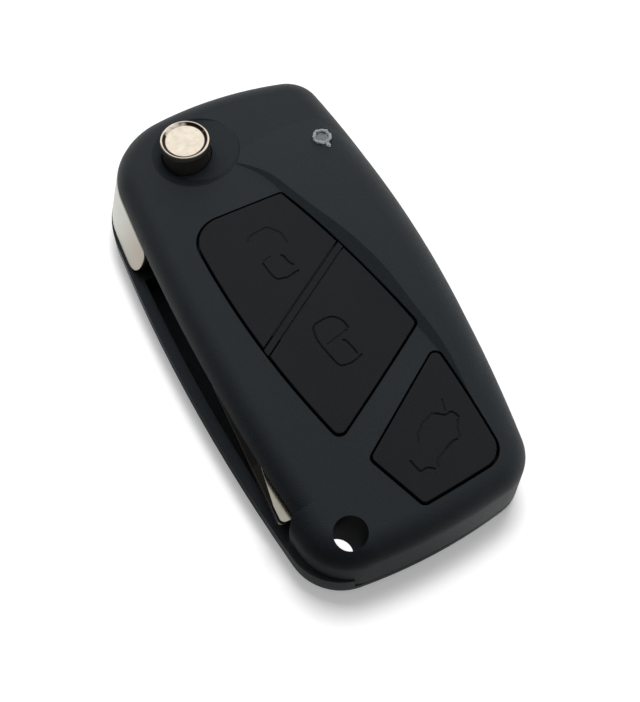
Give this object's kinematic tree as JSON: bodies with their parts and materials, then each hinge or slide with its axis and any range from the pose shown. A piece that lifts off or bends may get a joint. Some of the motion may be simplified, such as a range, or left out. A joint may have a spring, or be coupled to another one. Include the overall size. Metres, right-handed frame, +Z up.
{
  "type": "folding car key fob shell",
  "caption": "Folding car key shell: black barrel-shaped case with rubber keys, a light window, a metal release button and a blade that swings out of a side slot.",
  "frame": {"origin": "middle of the overall width and length, on the table under the flat bottom of the lower case", "axes": "+X to the side of the case with the light window, +Y towards the end with the release button, +Z up out of the keys"},
  "size_m": [0.0364, 0.0714, 0.0147],
  "materials": {
    "case_plastic": "black moulded plastic with a fine matt texture",
    "key_rubber": "matt black soft keys",
    "mat_rubber": "black silicone",
    "tray_plastic": "plain black moulded plastic",
    "clip_metal": "thin nickel plated strip",
    "window_plastic": "cloudy clear plastic",
    "screw_steel": "plain steel",
    "hub_metal": "satin plated die casting",
    "blade_steel": "nickel plated blank",
    "pin_steel": "plain spring steel",
    "plug_plastic": "black moulded plastic",
    "cap_metal": "mirror polished nickel",
    "plunger_plastic": "dark moulded plastic",
    "spring_steel": "music wire"
  },
  "bodies": {
    "case": {"upper_case": "case_plastic", "lower_case": "case_plastic", "keypad_mat": "mat_rubber", "board_tray": "tray_plastic", "battery_clip_side": "clip_metal", "battery_clip_top": "clip_metal", "led_window": "window_plastic", "case_screws": "screw_steel", "spring_seat": "plunger_plastic"},
    "blade_arm": {"blade_hub": "hub_metal", "blade": "blade_steel", "blade_pin": "pin_steel", "transponder_plug": "plug_plastic", "flip_spring": "spring_steel"},
    "release_button": {"release_cap": "cap_metal", "release_plunger": "plunger_plastic"},
    "unlock_key": {"unlock_key": "key_rubber"},
    "lock_key": {"lock_key": "key_rubber"},
    "boot_key": {"boot_key": "key_rubber"}
  },
  "joints": [
    {"name": "blade_flip", "type": "hinge", "parent": "case", "child": "blade_arm", "pos_m": [-0.005, 0.02685, 0.0072], "axis": [0, 0, -1], "range_deg": [0, 180]},
    {"name": "release_press", "type": "slide", "parent": "blade_arm", "child": "release_button", "axis": [0, 0, -1], "range_m": [0, 0.0018], "stiffness_N_per_m": 1500, "springref_m": -0.002, "deforming": ["flip_spring"]},
    {"name": "unlock_press", "type": "slide", "parent": "case", "child": "unlock_key", "axis": [0, 0, -1], "range_m": [0, 0.0006], "stiffness_N_per_m": 1500, "springref_m": -0.0005},
    {"name": "lock_press", "type": "slide", "parent": "case", "child": "lock_key", "axis": [0, 0, -1], "range_m": [0, 0.0006], "stiffness_N_per_m": 1500, "springref_m": -0.0005},
    {"name": "boot_press", "type": "slide", "parent": "case", "child": "boot_key", "axis": [0, 0, -1], "range_m": [0, 0.0006], "stiffness_N_per_m": 1500, "springref_m": -0.0005}
  ]
}
